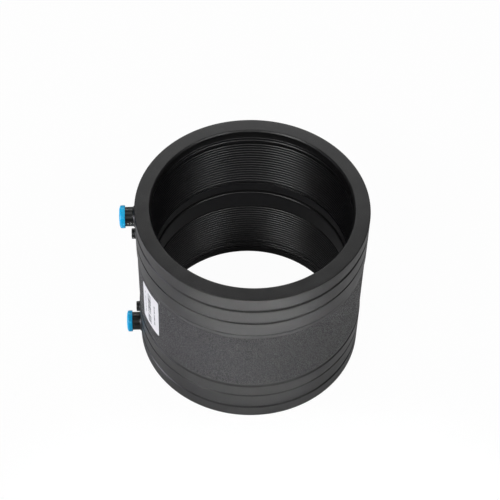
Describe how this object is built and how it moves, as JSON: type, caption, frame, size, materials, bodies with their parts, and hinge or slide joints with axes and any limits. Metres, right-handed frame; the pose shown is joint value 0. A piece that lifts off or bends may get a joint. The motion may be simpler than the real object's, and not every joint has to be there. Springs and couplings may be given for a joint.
{
  "type": "electrofusion coupler",
  "caption": "Short black pipe sleeve with banded ends, a pebbled middle, wound bore and two capped side terminals, for welding two plastic pipe ends together.",
  "frame": {"origin": "centre of the lower mouth, on the bore's axis, in the plane of the lower end face", "axes": "+Z along the bore from the lower to the upper mouth; the terminals and the fusion indicators point along -X"},
  "size_m": [0.1991, 0.187, 0.16],
  "materials": {
    "black_polyethylene": "satin moulded polyethylene, pebbled round the middle",
    "winding_coating": "satin polyethylene over wound wire",
    "contact_brass": "turned brass",
    "blue_cap_plastic": "semi-gloss moulded plastic",
    "indicator_plastic": "matt moulded polyethylene",
    "label_film": "satin white film with grey printed bars"
  },
  "bodies": {
    "fitting": {"coupler_body": "black_polyethylene", "lower_winding_sleeve": "winding_coating", "upper_winding_sleeve": "winding_coating", "lower_contact_pin": "contact_brass", "upper_contact_pin": "contact_brass", "data_label": "label_film"},
    "lower_cap": {"lower_terminal_cap": "blue_cap_plastic"},
    "upper_cap": {"upper_terminal_cap": "blue_cap_plastic"},
    "lower_indicator": {"lower_fusion_indicator": "indicator_plastic"},
    "upper_indicator": {"upper_fusion_indicator": "indicator_plastic"}
  },
  "joints": [
    {"name": "lower_cap_slide", "type": "slide", "parent": "fitting", "child": "lower_cap", "axis": [-1, 0, 0], "range_m": [0, 0.02]},
    {"name": "upper_cap_slide", "type": "slide", "parent": "fitting", "child": "upper_cap", "axis": [-1, 0, 0], "range_m": [0, 0.02]},
    {"name": "lower_indicator_rise", "type": "slide", "parent": "fitting", "child": "lower_indicator", "axis": [-1, 0, 0], "range_m": [0, 0.003]},
    {"name": "upper_indicator_rise", "type": "slide", "parent": "fitting", "child": "upper_indicator", "axis": [-1, 0, 0], "range_m": [0, 0.003]}
  ]
}
